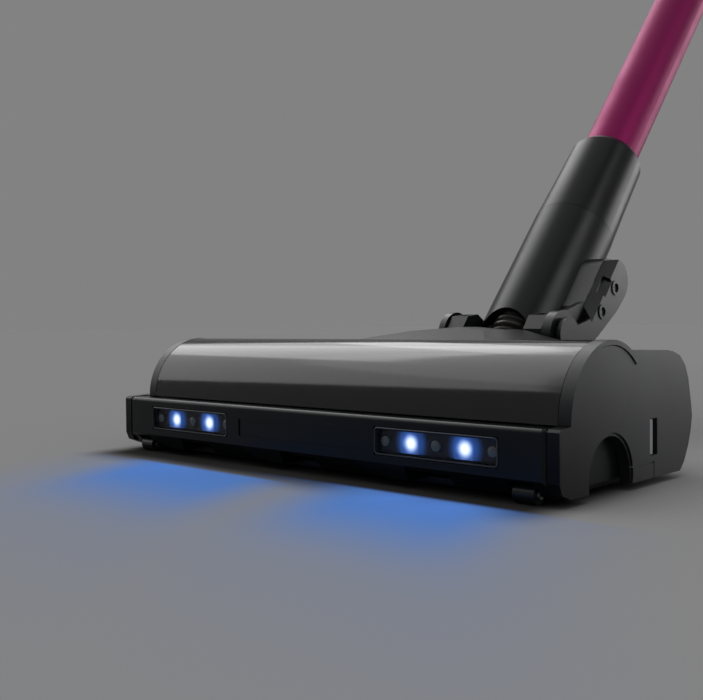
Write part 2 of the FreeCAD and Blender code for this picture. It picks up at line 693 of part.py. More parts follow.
def wand_socket():
    bore = "wand_radius + gap"
    sleeve = turned([(bore, "socket_low"), ("socket_radius - 2", "socket_low"),
                     ("socket_radius", "socket_low + 6"), ("socket_radius", "socket_high"),
                     (bore, "socket_high")])
    hole = rod("y", "button_radius + gap", "tube_offset + 10", "40", "0", "802")
    return cut(shifted(sleeve), hole)


def wand_release_button():
    return rod("y", "button_radius", "tube_offset + 19.8", "tube_offset + 24.6", "0", "802")


# --- hand unit ----------------------------------------------------------------------------------

def inlet_tube():
    pipe = rod("z", "wand_radius", "wand_high + 20", "904.8", "0", "tube_offset")
    snout = box("-12", "12", "bin_y + 35", "tube_offset - 8", "868", "900")
    bore = rod("z", "wand_radius - 2", "wand_high + 10", "901", "0", "tube_offset")
    port = box("-9.5", "9.5", "bin_y + 30", "tube_offset - 6", "871", "897")
    return cut(fuse(pipe, snout), bore, port,
               rod("z", "bin_radius + 0.05", "860", "910", "0", "bin_y"))


def dust_bin():
    wall_ring = ring("z", "bin_radius", "bin_radius - 2.5", "bin_low", "bin_high", "0", "bin_y")
    barrel = rod("x", "3", "-12", "12", "bin_y - bin_radius - 2.5", "bin_low + 4")
    bore = rod("x", "1.5", "-15", "15", "bin_y - bin_radius - 2.5", "bin_low + 4")
    port = box("-9.5", "9.5", "bin_y + 30", "bin_y + 46", "871", "897")
    inside = rod("z", "bin_radius - 2.5", "bin_low - 1", "bin_high + 1", "0", "bin_y")
    return cut(fuse(wall_ring, barrel), port, bore, inside)


def bin_door():
    plate = rod("z", "bin_radius", "bin_low - 5", "bin_low - gap", "0", "bin_y")
    ears = []
    hinge_y, hinge_z = "bin_y - bin_radius - 2.5", "bin_low + 4"
    for x0, x1 in (("-18", "-12.4"), ("12.4", "18")):
        ears.append(rod("x", "3", x0, x1, hinge_y, hinge_z))
        ears.append(box(x0, x1, "bin_y - bin_radius - 5.5", "bin_y - bin_radius + 3", "bin_low - 5",
                        "bin_low - gap"))
        ears.append(box(x0, x1, "bin_y - bin_radius - 5.5", "bin_y - bin_radius - 0.8",
                        "bin_low - 4", "bin_low + 4"))
    pin = rod("x", "1.44", "-18", "18", hinge_y, hinge_z)
    catch = box("bin_radius - 3", "bin_radius + 1.6", "bin_y - 6", "bin_y + 6", "bin_low - 5",
                "bin_low - gap")
    return cut(fuse(plate, pin, catch, *ears),
               cut(rod("z", "bin_radius + gap", "bin_low - gap", "bin_high", "0", "bin_y"),
                   box("-11", "11", "bin_y - 60", "bin_y - bin_radius", "bin_low", "bin_high")))


def bin_latch():
    return box("bin_radius + 0.6", "bin_radius + 5", "bin_y - 8", "bin_y + 8", "bin_low + 1",
               "bin_low + 26")


def cyclone_cone():
    return shifted(turned([("8", "845"), ("10.5", "845"), ("24.5", "908"), ("36", "908"),
                    ("36", "914"), ("22", "914")]), "bin_y")


def mesh_screen():
    return ring("z", "30", "28.4", "856", "907.8", "0", "bin_y")


def pre_filter():
    return rod("z", "38", "919", "932", "0", "bin_y")


def motor_housing():
    wall_ring = ring("z", "body_radius", "body_radius - 2.5", "bin_high + gap", "body_high",
                     "0", "bin_y")
    deck = ring("z", "body_radius - 1", "26", "bin_high + gap", "bin_high + 3.5", "0", "bin_y")
    bulkhead = ring("z", "body_radius - 1", "25.5", "966", "970", "0", "bin_y")
    return fuse(wall_ring, deck, bulkhead)


def fan_motor():
    return ring("z", "25.4", "3.2", "950", "1000", "0", "bin_y")


def impeller():
    hub = rod("z", "9", "936", "948", "0", "bin_y")
    shaft = rod("z", "3.1", "936", "1003", "0", "bin_y")
    disc = rod("z", "33", "945.5", "948", "0", "bin_y")
    blades = []
    for index in range(9):
        blade = box("6", "32", "-0.8", "0.8", "937", "946")
        row = doc.addObject("Part::Compound", fresh("blade"))
        row.Links = [blade]
        row.Placement = FreeCAD.Placement(Vector(), FreeCAD.Rotation(Vector(0, 0, 1), 40 * index))
        move(row, 0, "bin_y", 0)
        blades.append(row)
    return fuse(hub, shaft, disc, *blades)


def exhaust_filter():
    return ring("z", "body_radius - 3", "28", "1005", "1030", "0", "bin_y")


def display_panel():
    cap = rod("z", "body_radius - 0.5", "body_high + gap", "body_high + 7", "0", "bin_y")
    return cut(cap, rod("z", "7.4", "body_high + 3", "body_high + 9", "0", "bin_y + 22"))


def mode_button():
    return rod("z", "7", "body_high + 5", "body_high + 8.6", "0", "bin_y + 22")


def handle_outlines():
    """The outline of the handle loop and of the gap for the fingers."""
    outer = [("-6.7", "grip_low"), ("118", "grip_low"), ("120", "930"), ("103", "1018"),
             ("82", "1043"), ("18", "1043"), ("-6.7", "1030")]
    inner = [("6", "932"), ("89", "932"), ("76", "1000"), ("62", "1018"), ("6", "1018")]
    return outer, inner


def handle_half(side):
    outer, inner = handle_outlines()
    x0 = "0.05" if side > 0 else "-grip_half"
    body = pad("YZ_Plane", [outer, inner], x0, "grip_half - 0.05")

    def is_corner(edge):
        middle = edge.BoundBox.Center
        on_battery = middle.y > 100 and middle.z < number("grip_low") + 5
        return edge.BoundBox.XLength > 5 and middle.y > 0 and not on_battery

    def is_outer_rim(edge):
        bounds = edge.BoundBox
        on_face = abs(abs(bounds.Center.x) - number("grip_half")) < 0.1 and bounds.XLength < 0.1
        return on_face and bounds.Center.y > 0
    round_edges(body, "9", is_corner)
    round_edges(body, "5", is_outer_rim)
    return cut(body, box("-7.4", "7.4", "65", "90", "966", "995"))


def trigger():
    return box("-7", "7", "70", "82.5", "966.6", "994.4")


def battery_pack():
    pack = pad("XY_Plane", [[("-22", "62"), ("22", "62"), ("22", "110"), ("14", "118"),
                             ("-14", "118"), ("-22", "110")]], "845", "grip_low - 845.3")
    return cut(pack, box("-7.3", "7.3", "114", "122", "874.7", "893.3"),
               rod("x", "jack_radius", "-25", "-12", "90", "870"))


def battery_button():
    return box("-7", "7", "116", "120.4", "875", "893")


# --- the list of pieces -------------------------------------------------------------------------

node("head_base", head_base())
node("sole_plate", sole_plate())
node("top_housing", top_housing())
node("rear_housing", rear_housing())
node("rear_tray", rear_tray())
node("front_bumper", front_bumper())
node("led_windows", led_windows())
node("led_boards", led_boards())
node("roller_cover", roller_cover())
node("cover_ring_left", cover_ring_left())
node("cover_ring_right", cover_ring_right())
node("side_panel_left", side_panel_left())
node("side_panel_right", side_panel_right())
for side, word in ((-1, "left"), (1, "right")):
    node(f"rear_wheel_{word}", rear_wheel(side))
    node(f"front_roller_{word}", front_roller(side))
node("belt_cover", belt_cover())
node("brush_end_cap", brush_end_cap())
node("brush_latch", brush_latch())
node("brush_core", brush_core())
node("brush_bristles", brush_bristles())
node("brush_bearings", brush_bearings())
node("brush_motor", brush_motor())
node("motor_pulley", motor_pulley())
node("drive_belt", drive_belt())
node("wheel_axles", wheel_axles())
node("sole_screws", sole_screws())
node("rear_glide_pad", rear_glide_pad())
node("hinge_pins", hinge_pins())

leaned("neck_tube", neck_tube())
leaned("yoke_left", mirror(yoke(ARM_LEFT)))
leaned("yoke_right", yoke(ARM_RIGHT))
leaned("yoke_cover_left", mirror(yoke_cover(ARM_LEFT)))
leaned("yoke_cover_right", yoke_cover(ARM_RIGHT))
leaned("yoke_screws", yoke_screws())
leaned("neck_hose", neck_hose())

leaned("neck_collar", neck_collar())
leaned("head_release_button", head_release_button())
leaned("wand_tube", wand_tube())
leaned("wand_socket", wand_socket())
leaned("wand_release_button", wand_release_button())
leaned("inlet_tube", inlet_tube())
leaned("dust_bin", dust_bin())
leaned("bin_door", bin_door())
leaned("bin_latch", bin_latch())
leaned("cyclone_cone", cyclone_cone())
leaned("mesh_screen", mesh_screen())
leaned("pre_filter", pre_filter())
leaned("motor_housing", motor_housing())
leaned("fan_motor", fan_motor())
leaned("impeller", impeller())
leaned("exhaust_filter", exhaust_filter())
leaned("display_panel", display_panel())
leaned("mode_button", mode_button())
leaned("handle_left", handle_half(-1))
leaned("handle_right", handle_half(1))
leaned("trigger", trigger())
leaned("battery_pack", battery_pack())
leaned("battery_button", battery_button())

doc.recompute()

# --- checks, then the files ---------------------------------------------------------------------

for thing in doc.Objects:
    if "Invalid" in thing.State or "Error" in thing.State:
        raise SystemExit(f"{thing.Name} failed: {thing.State}")
for name, piece in NODES.items():
    shape = piece.Shape
    if shape.isNull() or not shape.isValid() or not shape.Solids:
        raise SystemExit(f"{name} has no sound shape")
    shape.exportStep(f"parts/{name}.step")
print(len(NODES), "nodes written")
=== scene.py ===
import json
import math

import bmesh
import bpy
from mathutils import Matrix, Quaternion, Vector


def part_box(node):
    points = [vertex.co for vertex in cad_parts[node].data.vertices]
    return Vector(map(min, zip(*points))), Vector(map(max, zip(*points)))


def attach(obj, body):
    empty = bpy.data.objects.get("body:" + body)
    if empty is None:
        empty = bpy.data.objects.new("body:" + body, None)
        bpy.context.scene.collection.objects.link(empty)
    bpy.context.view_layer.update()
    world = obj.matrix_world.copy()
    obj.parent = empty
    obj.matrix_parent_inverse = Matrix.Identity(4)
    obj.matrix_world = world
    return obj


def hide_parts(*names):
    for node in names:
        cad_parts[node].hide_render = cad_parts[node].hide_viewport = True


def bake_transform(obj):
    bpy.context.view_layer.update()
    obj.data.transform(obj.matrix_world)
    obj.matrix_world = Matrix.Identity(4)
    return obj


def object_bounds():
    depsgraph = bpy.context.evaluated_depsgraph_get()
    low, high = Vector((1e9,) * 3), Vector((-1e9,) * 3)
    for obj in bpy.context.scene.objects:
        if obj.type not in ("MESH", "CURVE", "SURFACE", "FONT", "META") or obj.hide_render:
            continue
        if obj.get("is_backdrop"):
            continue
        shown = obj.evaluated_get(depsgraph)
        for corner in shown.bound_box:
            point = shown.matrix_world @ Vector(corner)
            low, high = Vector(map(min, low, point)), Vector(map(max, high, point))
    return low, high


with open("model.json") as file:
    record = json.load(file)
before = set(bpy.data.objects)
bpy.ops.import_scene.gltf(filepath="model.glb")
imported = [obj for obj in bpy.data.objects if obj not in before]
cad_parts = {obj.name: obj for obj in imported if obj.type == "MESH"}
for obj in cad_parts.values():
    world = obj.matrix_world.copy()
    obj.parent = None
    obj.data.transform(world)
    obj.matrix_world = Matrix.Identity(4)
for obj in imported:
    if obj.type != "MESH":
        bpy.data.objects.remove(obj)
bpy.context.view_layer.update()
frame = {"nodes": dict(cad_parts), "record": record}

nodes = frame["nodes"]


# --- materials ----------------------------------------------------------------------------------

# Where the painted shade on the side plastic fades, in metres: along y, along z, and just behind
# the front.
PAINTED_SHADE_DEPTH = (-0.158, -0.085)
PAINTED_SHADE_HEIGHT = (0.008, 0.052)
PAINTED_FRONT_SHADE_EDGE = (-0.1594, -0.1580)


class Graph:
    """A node material with a Principled shader and short names for the nodes that feed it."""

    def __init__(self, name):
        self.material = bpy.data.materials.new(name)
        self.material.use_nodes = True
        self.tree = self.material.node_tree
        self.shader = self.tree.nodes["Principled BSDF"]
        self.place = self.tree.nodes.new("ShaderNodeTexCoord").outputs["Object"]

    def set(self, **values):
        for name, value in values.items():
            self.shader.inputs[name.replace("_", " ")].default_value = value

    def link(self, output, name):
        self.tree.links.new(output, self.shader.inputs[name])

    def noise(self, scale, detail=3.0, stretch=(1, 1, 1)):
        node = self.tree.nodes.new("ShaderNodeTexNoise")
        node.inputs["Scale"].default_value = scale
        node.inputs["Detail"].default_value = detail
        source = self.place
        if stretch != (1, 1, 1):
            mapping = self.tree.nodes.new("ShaderNodeMapping")
            mapping.inputs["Scale"].default_value = stretch
            self.tree.links.new(source, mapping.inputs["Vector"])
            source = mapping.outputs["Vector"]
        self.tree.links.new(source, node.inputs["Vector"])
        return node.outputs["Fac"]

    def span(self, value, low, high, from_low=0.3, from_high=0.7):
        """Maps from_low..from_high to low..high; noise mostly keeps within 0.3 to 0.7."""
        node = self.tree.nodes.new("ShaderNodeMapRange")
        node.inputs["From Min"].default_value = from_low
        node.inputs["From Max"].default_value = from_high
        node.inputs["To Min"].default_value = low
        node.inputs["To Max"].default_value = high
        self.tree.links.new(value, node.inputs["Value"])
        return node.outputs["Result"]

    def blend(self, factor, first, second):
        node = self.tree.nodes.new("ShaderNodeMix")
        node.data_type = "RGBA"
        self.tree.links.new(factor, node.inputs["Factor"])
        for socket, value in ((node.inputs["A"], first), (node.inputs["B"], second)):
            if isinstance(value, tuple):
                socket.default_value = (*value, 1.0)
            else:
                self.tree.links.new(value, socket)
        return node.outputs["Result"]

    def math(self, operation, first, second=None):
        node = self.tree.nodes.new("ShaderNodeMath")
        node.operation = operation
        for index, value in enumerate((first, second)):
            if isinstance(value, (int, float)):
                node.inputs[index].default_value = value
            elif value is not None:
                self.tree.links.new(value, node.inputs[index])
        return node.outputs[0]

    def axes(self):
        """The x, y and z of a place on the piece, in metres."""
        node = self.tree.nodes.new("ShaderNodeSeparateXYZ")
        self.tree.links.new(self.place, node.inputs[0])
        return node.outputs

    def smooth(self, value, low, high, from_low, from_high):
        result = self.span(value, low, high, from_low, from_high)
        result.node.interpolation_type = "SMOOTHSTEP"
        return result

    def bump(self, height, strength, distance):
        node = self.tree.nodes.new("ShaderNodeBump")
        node.inputs["Strength"].default_value = strength
        node.inputs["Distance"].default_value = distance
        self.tree.links.new(height, node.inputs["Height"])
        self.link(node.outputs["Normal"], "Normal")

    def edges(self):
        """Near 1 on sharp outer edges, 0 on flat and hollow ground."""
        geometry = self.tree.nodes.new("ShaderNodeNewGeometry")
        return self.span(geometry.outputs["Pointiness"], 0.0, 1.0, 0.52, 0.6)


def moulded(name, color, roughness, grain=0.12, wear=0.35, shine=0.5, painted_front_shade=False):
    """Moulded plastic: a fine grain, a little unevenness in gloss and paler rubbed edges.

    With the front option it paints shade that darkens it downwards and forwards, paints a
    stronger sheen towards the upper back, and paints the head's front face black as shade.
    """
    graph = Graph(name)
    cloudy = graph.noise(22.0, 2.0)
    darker = tuple(0.86 * c for c in color)
    body = graph.blend(graph.span(cloudy, 0.0, 1.0), darker, color)
    rubbed = tuple(min(1.0, 1.7 * c + 0.02) for c in color)
    skin = graph.blend(graph.math("MULTIPLY", graph.edges(), wear), body, rubbed)
    if painted_front_shade:
        # Painted shade and sheen: darker low and towards the front, full colour with more sheen
        # towards the upper back.
        along, up = graph.axes()[1:3]
        lift = graph.math("ADD", graph.smooth(along, 0.0, 0.55, *PAINTED_SHADE_DEPTH),
                          graph.smooth(up, 0.0, 0.45, *PAINTED_SHADE_HEIGHT))
        skin = graph.blend(lift, tuple(0.3 * c for c in color), skin)
        # Painted shade: the face at the very front is painted near black.
        behind_painted_shade = graph.span(along, 0.0, 1.0, *PAINTED_FRONT_SHADE_EDGE)
        skin = graph.blend(behind_painted_shade, (0.002, 0.003, 0.004), skin)
        graph.link(graph.math("ADD", graph.span(behind_painted_shade, 0.12, 0.2, 0.0, 1.0),
                              graph.span(lift, 0.0, shine, 0.0, 1.0)), "Specular IOR Level")
    graph.link(skin, "Base Color")
    smear = graph.noise(60.0, 4.0)
    graph.link(graph.span(smear, roughness - 0.02, roughness + 0.03), "Roughness")
    graph.bump(graph.noise(1800.0, 2.0), grain, 0.0002)
    graph.set(IOR=1.5, Specular_IOR_Level=shine)
    return graph.material


def polished(name, color, roughness):
    graph = Graph(name)
    smear = graph.noise(35.0, 4.0)
    graph.link(graph.blend(graph.span(graph.noise(18.0), 0.0, 1.0), color,
                           tuple(1.12 * c for c in color)), "Base Color")
    graph.link(graph.span(smear, roughness, roughness + 0.06), "Roughness")
    graph.bump(graph.noise(240.0, 1.0), 0.02, 0.0002)
    graph.set(Coat_Weight=0.3, Coat_Roughness=0.05)
    return graph.material


def smoked(name, color, alpha, roughness=0.05):
    """Tinted clear plastic: what is behind shows through it, and its skin reflects."""
    graph = Graph(name)
    graph.link(graph.blend(graph.span(graph.noise(9.0), 0.0, 1.0), color,
                           tuple(1.15 * c for c in color)), "Base Color")
    graph.link(graph.span(graph.noise(50.0, 4.0), roughness, roughness + 0.04), "Roughness")
    graph.bump(graph.noise(30.0, 1.0), 0.02, 0.0004)
    graph.set(Alpha=alpha, IOR=1.55)
    return graph.material


def lacquered_tube(name, color):
    """Satin metallic lacquer with fine flakes and a faint grain."""
    graph = Graph(name)
    flakes = graph.noise(2600.0, 1.0)
    paler = tuple(1.3 * c for c in color)
    graph.link(graph.blend(graph.span(flakes, 0.0, 0.6), color, paler), "Base Color")
    graph.link(graph.span(graph.noise(40.0, 3.0), 0.46, 0.52), "Roughness")
    graph.bump(graph.noise(1500.0, 2.0), 0.05, 0.0002)
    graph.set(Metallic=0.5, Specular_IOR_Level=0.1)
    return graph.material


def metal(name, color, roughness=0.35):
    graph = Graph(name)
    graph.link(graph.blend(graph.span(graph.noise(80.0), 0.0, 1.0), color,
                           tuple(0.8 * c for c in color)), "Base Color")
    graph.link(graph.span(graph.noise(200.0, 4.0, (1, 1, 8)), roughness, roughness + 0.15),
               "Roughness")
    graph.bump(graph.noise(700.0, 2.0, (1, 1, 6)), 0.08, 0.0002)
    graph.set(Metallic=1.0)
    return graph.material


def soft_rubber(name, color):
    graph = Graph(name)
    graph.link(graph.blend(graph.span(graph.noise(90.0, 4.0), 0.0, 1.0), color,
                           tuple(1.4 * c + 0.006 for c in color)), "Base Color")
    graph.link(graph.span(graph.noise(120.0, 3.0), 0.6, 0.8), "Roughness")
    graph.bump(graph.noise(900.0, 3.0), 0.25, 0.0003)
    return graph.material


def fibrous(name, color):
    graph = Graph(name)
    strands = graph.noise(1400.0, 3.0)
    graph.link(graph.blend(graph.span(strands, 0.0, 1.0), tuple(0.6 * c for c in color), color),
               "Base Color")
    graph.link(graph.span(strands, 0.75, 0.95), "Roughness")
    graph.bump(strands, 0.6, 0.0006)
    graph.set(Sheen_Weight=0.3, Sheen_Roughness=0.5)
    return graph.material


def glowing(name, color, strength):
    graph = Graph(name)
    graph.link(graph.blend(graph.span(graph.noise(900.0), 0.0, 1.0), color,
                           tuple(min(1.0, c * 1.2) for c in color)), "Base Color")
    graph.set(Emission_Strength=strength)
    graph.shader.inputs["Emission Color"].default_value = (*color, 1.0)
    return graph.material


BLACK = moulded("black_plastic", (0.0022, 0.0036, 0.0048), 0.3, wear=0.2, shine=0.22)
DARK_GREY = moulded("dark_grey_plastic", (0.017, 0.019, 0.022), 0.34)
# Side plastic with painted shade and a painted sheen that change with place on the head.
SIDE_BLACK_PAINTED_SHADE = moulded("side_plastic_painted_shade", (0.0145, 0.016, 0.019), 0.4, painted_front_shade=True)
# Painted highlight: the frames are real, but their pale colour stands in for light along the
# window edges.
WINDOW_RIM_PAINTED_HIGHLIGHT = moulded("window_rim", (0.03, 0.033, 0.038), 0.25)
HINGE_BLACK = moulded("hinge_plastic", (0.003, 0.004, 0.0052), 0.34, shine=0.3)
NECK_BLACK = moulded("neck_plastic", (0.0022, 0.0034, 0.0044), 0.32, grain=0.04, wear=0.2,
                     shine=0.2)
GLOSS_BLACK = polished("gloss_black", (0.012, 0.013, 0.016), 0.12)
SMOKED = smoked("smoked_clear", (0.012, 0.012, 0.012), 0.9, 0.09)
LED_GLASS = smoked("led_glass", (0.02, 0.02, 0.024), 0.12, 0.03)
CLEAR_BIN = smoked("clear_bin", (0.5, 0.52, 0.55), 0.28, 0.03)
MAGENTA = lacquered_tube("wand_magenta", (0.225, 0.009, 0.085))
MAGENTA_PLASTIC = polished("magenta_plastic", (0.24, 0.014, 0.08), 0.2)
STEEL = metal("steel", (0.5, 0.5, 0.52))
RUBBER = soft_rubber("rubber", (0.014, 0.014, 0.015))
BRISTLE = fibrous("bristle", (0.16, 0.16, 0.17))
FELT = fibrous("felt", (0.09, 0.09, 0.1))
PAPER = fibrous("filter_paper", (0.75, 0.75, 0.7))
LIGHT_GREY = moulded("light_grey_plastic", (0.38, 0.39, 0.41), 0.4)
BOARD = moulded("board", (0.012, 0.016, 0.02), 0.35)
LED_DIM = moulded("led_lens", (0.16, 0.18, 0.17), 0.3)
DISPLAY_LIGHT = glowing("display_light", (0.5, 0.75, 1.0), 0.5)
HOSE = moulded("hose_plastic", (0.03, 0.026, 0.024), 0.3, grain=0.05)

SLOT_MATERIALS = {
    "black_plastic": BLACK, "dark_grey_plastic": DARK_GREY, "gloss_black": GLOSS_BLACK,
    "smoked_clear": SMOKED, "clear_bin": CLEAR_BIN, "wand_magenta": MAGENTA,
    "wand_magenta_plastic": MAGENTA_PLASTIC, "steel": STEEL, "rubber": RUBBER,
    "bristle": BRISTLE, "felt": FELT, "filter": PAPER, "light_grey_plastic": LIGHT_GREY,
    "board": BOARD, "mesh_metal": STEEL, "display_glass": GLOSS_BLACK,
}
NODE_MATERIALS = {
    "led_windows": LED_GLASS, "neck_tube": NECK_BLACK, "neck_collar": NECK_BLACK,
    "side_panel_left": SIDE_BLACK_PAINTED_SHADE, "side_panel_right": SIDE_BLACK_PAINTED_SHADE,
    "cover_ring_left": SIDE_BLACK_PAINTED_SHADE, "cover_ring_right": SIDE_BLACK_PAINTED_SHADE,
    "yoke_left": HINGE_BLACK, "yoke_right": HINGE_BLACK, "yoke_cover_left": HINGE_BLACK,
    "yoke_cover_right": HINGE_BLACK, "rear_tray": HINGE_BLACK, "rear_housing": HINGE_BLACK,
    "top_housing": HINGE_BLACK, "front_roller_left": HINGE_BLACK,
    "front_roller_right": HINGE_BLACK,
}


def paint(piece, material):
    piece.data.materials.clear()
    piece.data.materials.append(material)


for entry in frame["record"]["subparts"]:
    name = entry["node"]
    paint(nodes[name], NODE_MATERIALS.get(name) or SLOT_MATERIALS[entry["material_slot"]])


def soften(piece, width):
    """Rounds a piece's edges without touching its mesh."""
    bevel = piece.modifiers.new("soft_edges", "BEVEL")
    bevel.width = width
    bevel.segments = 2
    bevel.limit_method = "ANGLE"
    bevel.angle_limit = math.radians(32)
    bevel.harden_normals = True


# --- mesh helpers -------------------------------------------------------------------------------

def make_piece(name, shape, material, body, smooth=True):
    """Turns a bmesh into a piece painted with the given material, riding on a body when one is
    given.
    """
    bmesh.ops.recalc_face_normals(shape, faces=shape.faces)
    mesh = bpy.data.meshes.new(name)
    shape.to_mesh(mesh)
    shape.free()
    if smooth:
        mesh.polygons.foreach_set("use_smooth", [True] * len(mesh.polygons))
        mesh.set_sharp_from_angle(angle=math.radians(35))
    piece = bpy.data.objects.new(name, mesh)
    bpy.context.scene.collection.objects.link(piece)
    paint(piece, material)
    if body:
        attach(piece, body)
    return piece


def side_name(side):
    return "right" if side > 0 else "left"


def bridge(shape, rings, closed_ends=True):
    """Skins a list of equally long vertex loops; every loop is closed."""
    for first, second in zip(rings, rings[1:]):
        count = len(first)
        for index in range(count):
            after = (index + 1) % count
            shape.faces.new((first[index], first[after], second[after], second[index]))
    if closed_ends:
        shape.faces.new(rings[0][::-1])
        shape.faces.new(rings[-1])


def spokes(axis, turns):
    """Unit vectors square to the axis, evenly spread round it."""
    side = axis.orthogonal().normalized()
    across = axis.cross(side)
    return [side * math.cos(math.tau * step / turns) + across * math.sin(math.tau * step / turns)
            for step in range(turns)]


def lathe(shape, place, axis, outline, turns):
    """Revolves (distance along the axis, radius) points about an axis; the outline is closed."""
    axis = Vector(axis).normalized()
    rings = [[shape.verts.new(Vector(place) + axis * along + out * radius)
              for along, radius in outline] for out in spokes(axis, turns)]
    bridge(shape, rings + rings[:1], closed_ends=False)


def solid_lathe(shape, place, axis, outline, turns):
    """The same for an outline that starts and ends on the axis."""
    axis = Vector(axis).normalized()
    rings = [[shape.verts.new(Vector(place) + axis * along + out * radius)
              for out in spokes(axis, turns)] for along, radius in outline[1:-1]]
    bridge(shape, rings, closed_ends=False)
    for (along, _), ring in ((outline[0], rings[0]), (outline[-1], rings[-1])):
        tip = shape.verts.new(Vector(place) + axis * along)
        for index in range(turns):
            shape.faces.new((ring[index], ring[(index + 1) % turns], tip))


LEAN = math.radians(41)
HINGE_Z = 0.058
ALONG = Vector((0, math.sin(LEAN), math.cos(LEAN)))
BACK = Vector((0, math.cos(LEAN), -math.sin(LEAN)))


def upright(x, y, z):
    """A point given in millimetres about the hinge, with z along the wand."""
    return Vector((x / 1000, 0, HINGE_Z)) + BACK * (y / 1000) + ALONG * (z / 1000)


# --- floor head ---------------------------------------------------------------------------------

# Millimetres from the middle of the head to each lamp, their height, and the pane's middle.
LIT = (63, 89)
DIM = (50, 75.5, 101.7)
LED_Z = 17.8
PANE_X, PANE_Z = 76.0, 18.05


def lamp_glow():
    """White-hot cores at the lit chips, which are lamps, fading through a blue halo that is glow
    painted onto the dark tray.
    """
    graph = Graph("lamp_glow")
    x, _, z = graph.axes()
    across = graph.math("ABSOLUTE", x)
    up = graph.math("SUBTRACT", z, LED_Z / 1000)
    squares = []
    for place in LIT:
        aside = graph.math("SUBTRACT", across, place / 1000)
        squares.append(graph.math("ADD", graph.math("MULTIPLY", aside, aside),
                                  graph.math("MULTIPLY", up, up)))
    distance = graph.math("SQRT", graph.math("MINIMUM", *squares))
    core = graph.smooth(distance, 1.0, 0.0, 0.0008, 0.0046)
    # Painted light: the halo lights the tray round each chip in blue, though the tray is no lamp.
    painted_halo = graph.smooth(distance, 1.0, 0.0, 0.0012, 0.0090)
    graph.link(graph.blend(core, (0.07, 0.24, 0.95), (0.72, 0.86, 1.0)), "Emission Color")
    graph.link(graph.math("ADD", graph.math("MULTIPLY", core, 1.3),
                          graph.math("MULTIPLY", painted_halo, 0.6)), "Emission Strength")
    graph.link(graph.blend(graph.span(graph.noise(900.0), 0.0, 1.0), (0.008, 0.01, 0.014),
                           (0.014, 0.017, 0.022)), "Base Color")
    return graph.material


LAMP_GLOW = lamp_glow()


def lamp_tray(side):
    """The dark tray behind the pane with a squarish cup round each lit chip."""
    shape = bmesh.new()
    x0, x1 = sorted((side * 0.0462, side * 0.1048))
    middle = Vector(((x0 + x1) / 2, -0.1552, 0.01755))
    size = Vector((x1 - x0, 0.003, 0.0098))
    for corner in bmesh.ops.create_cube(shape, size=1.0)["verts"]:
        corner.co = middle + corner.co * size
    turns, squareness = 32, 0.4
    for place in LIT:
        cup = []
        for y, reach in ((-0.1568, 0.0049), (-0.1577, 0.0049), (-0.1577, 0.0045),
                         (-0.1570, 0.0030)):
            ring = []
            for step in range(turns):
                angle = math.tau * (step + 0.5) / turns
                aside, up = (math.copysign(abs(part) ** squareness, part)
                             for part in (math.cos(angle), math.sin(angle)))
                ring.append(shape.verts.new((side * place / 1000 + reach * 1.02 * aside, y,
                                             LED_Z / 1000 + reach * 0.94 * up)))
            cup.append(ring)
        bridge(shape, cup)
    return make_piece(f"lamp_tray_{side_name(side)}", shape, LAMP_GLOW, "floor_head",
                      smooth=False)


def window_rim(side):
    """A fine raised frame round a lamp window, paler than the plastic round it as a painted
    highlight on the window's edge.
    """
    shape = bmesh.new()
    half_wide, half_high, corner_radius = 29.7, 5.45, 1.6
    loops = []
    for y, shrink in ((-0.1590, 0.0), (-0.16015, 0.0), (-0.16025, 0.12), (-0.16015, 0.5),
                      (-0.1590, 0.5)):
        loop = []
        for turn, (cx, cz) in enumerate(((1, 1), (-1, 1), (-1, -1), (1, -1))):
            for step in range(5):
                angle = math.radians(90 * turn + 22.5 * step)
                reach = corner_radius - shrink
                x = side * PANE_X + cx * (half_wide - corner_radius) + reach * math.cos(angle)
                z = PANE_Z + cz * (half_high - corner_radius) + reach * math.sin(angle)
                loop.append(shape.verts.new((x / 1000, y, z / 1000)))
        loops.append(loop)
    bridge(shape, loops + loops[:1], closed_ends=False)
    make_piece(f"window_rim_{side_name(side)}", shape, WINDOW_RIM_PAINTED_HIGHLIGHT, "floor_head")


for side in (-1, 1):
    window_rim(side)
trays = [lamp_tray(side) for side in (-1, 1)]
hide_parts("led_boards")
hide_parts("led_boards")
for side in (-1, 1):
    for place in DIM:
        shape = bmesh.new()
        solid_lathe(shape, (side * place / 1000, -0.1572, LED_Z / 1000), (0, -1, 0),
                    [(-0.001, 0), (-0.001, 0.0021), (0.0003, 0.0021), (0.0006, 0.0015),
                     (0.0007, 0)], 24)
        make_piece(f"led_lens_{side_name(side)}_{str(place).replace('.', '_')}", shape, LED_DIM,
                   "floor_head")


# The brush roll: the place of its axis in y and z, its core and the reach of the bristles.
BRUSH_Y, BRUSH_Z = -0.123, 0.0275
CORE_RADIUS, TIP_RADIUS = 0.0186, 0.0264


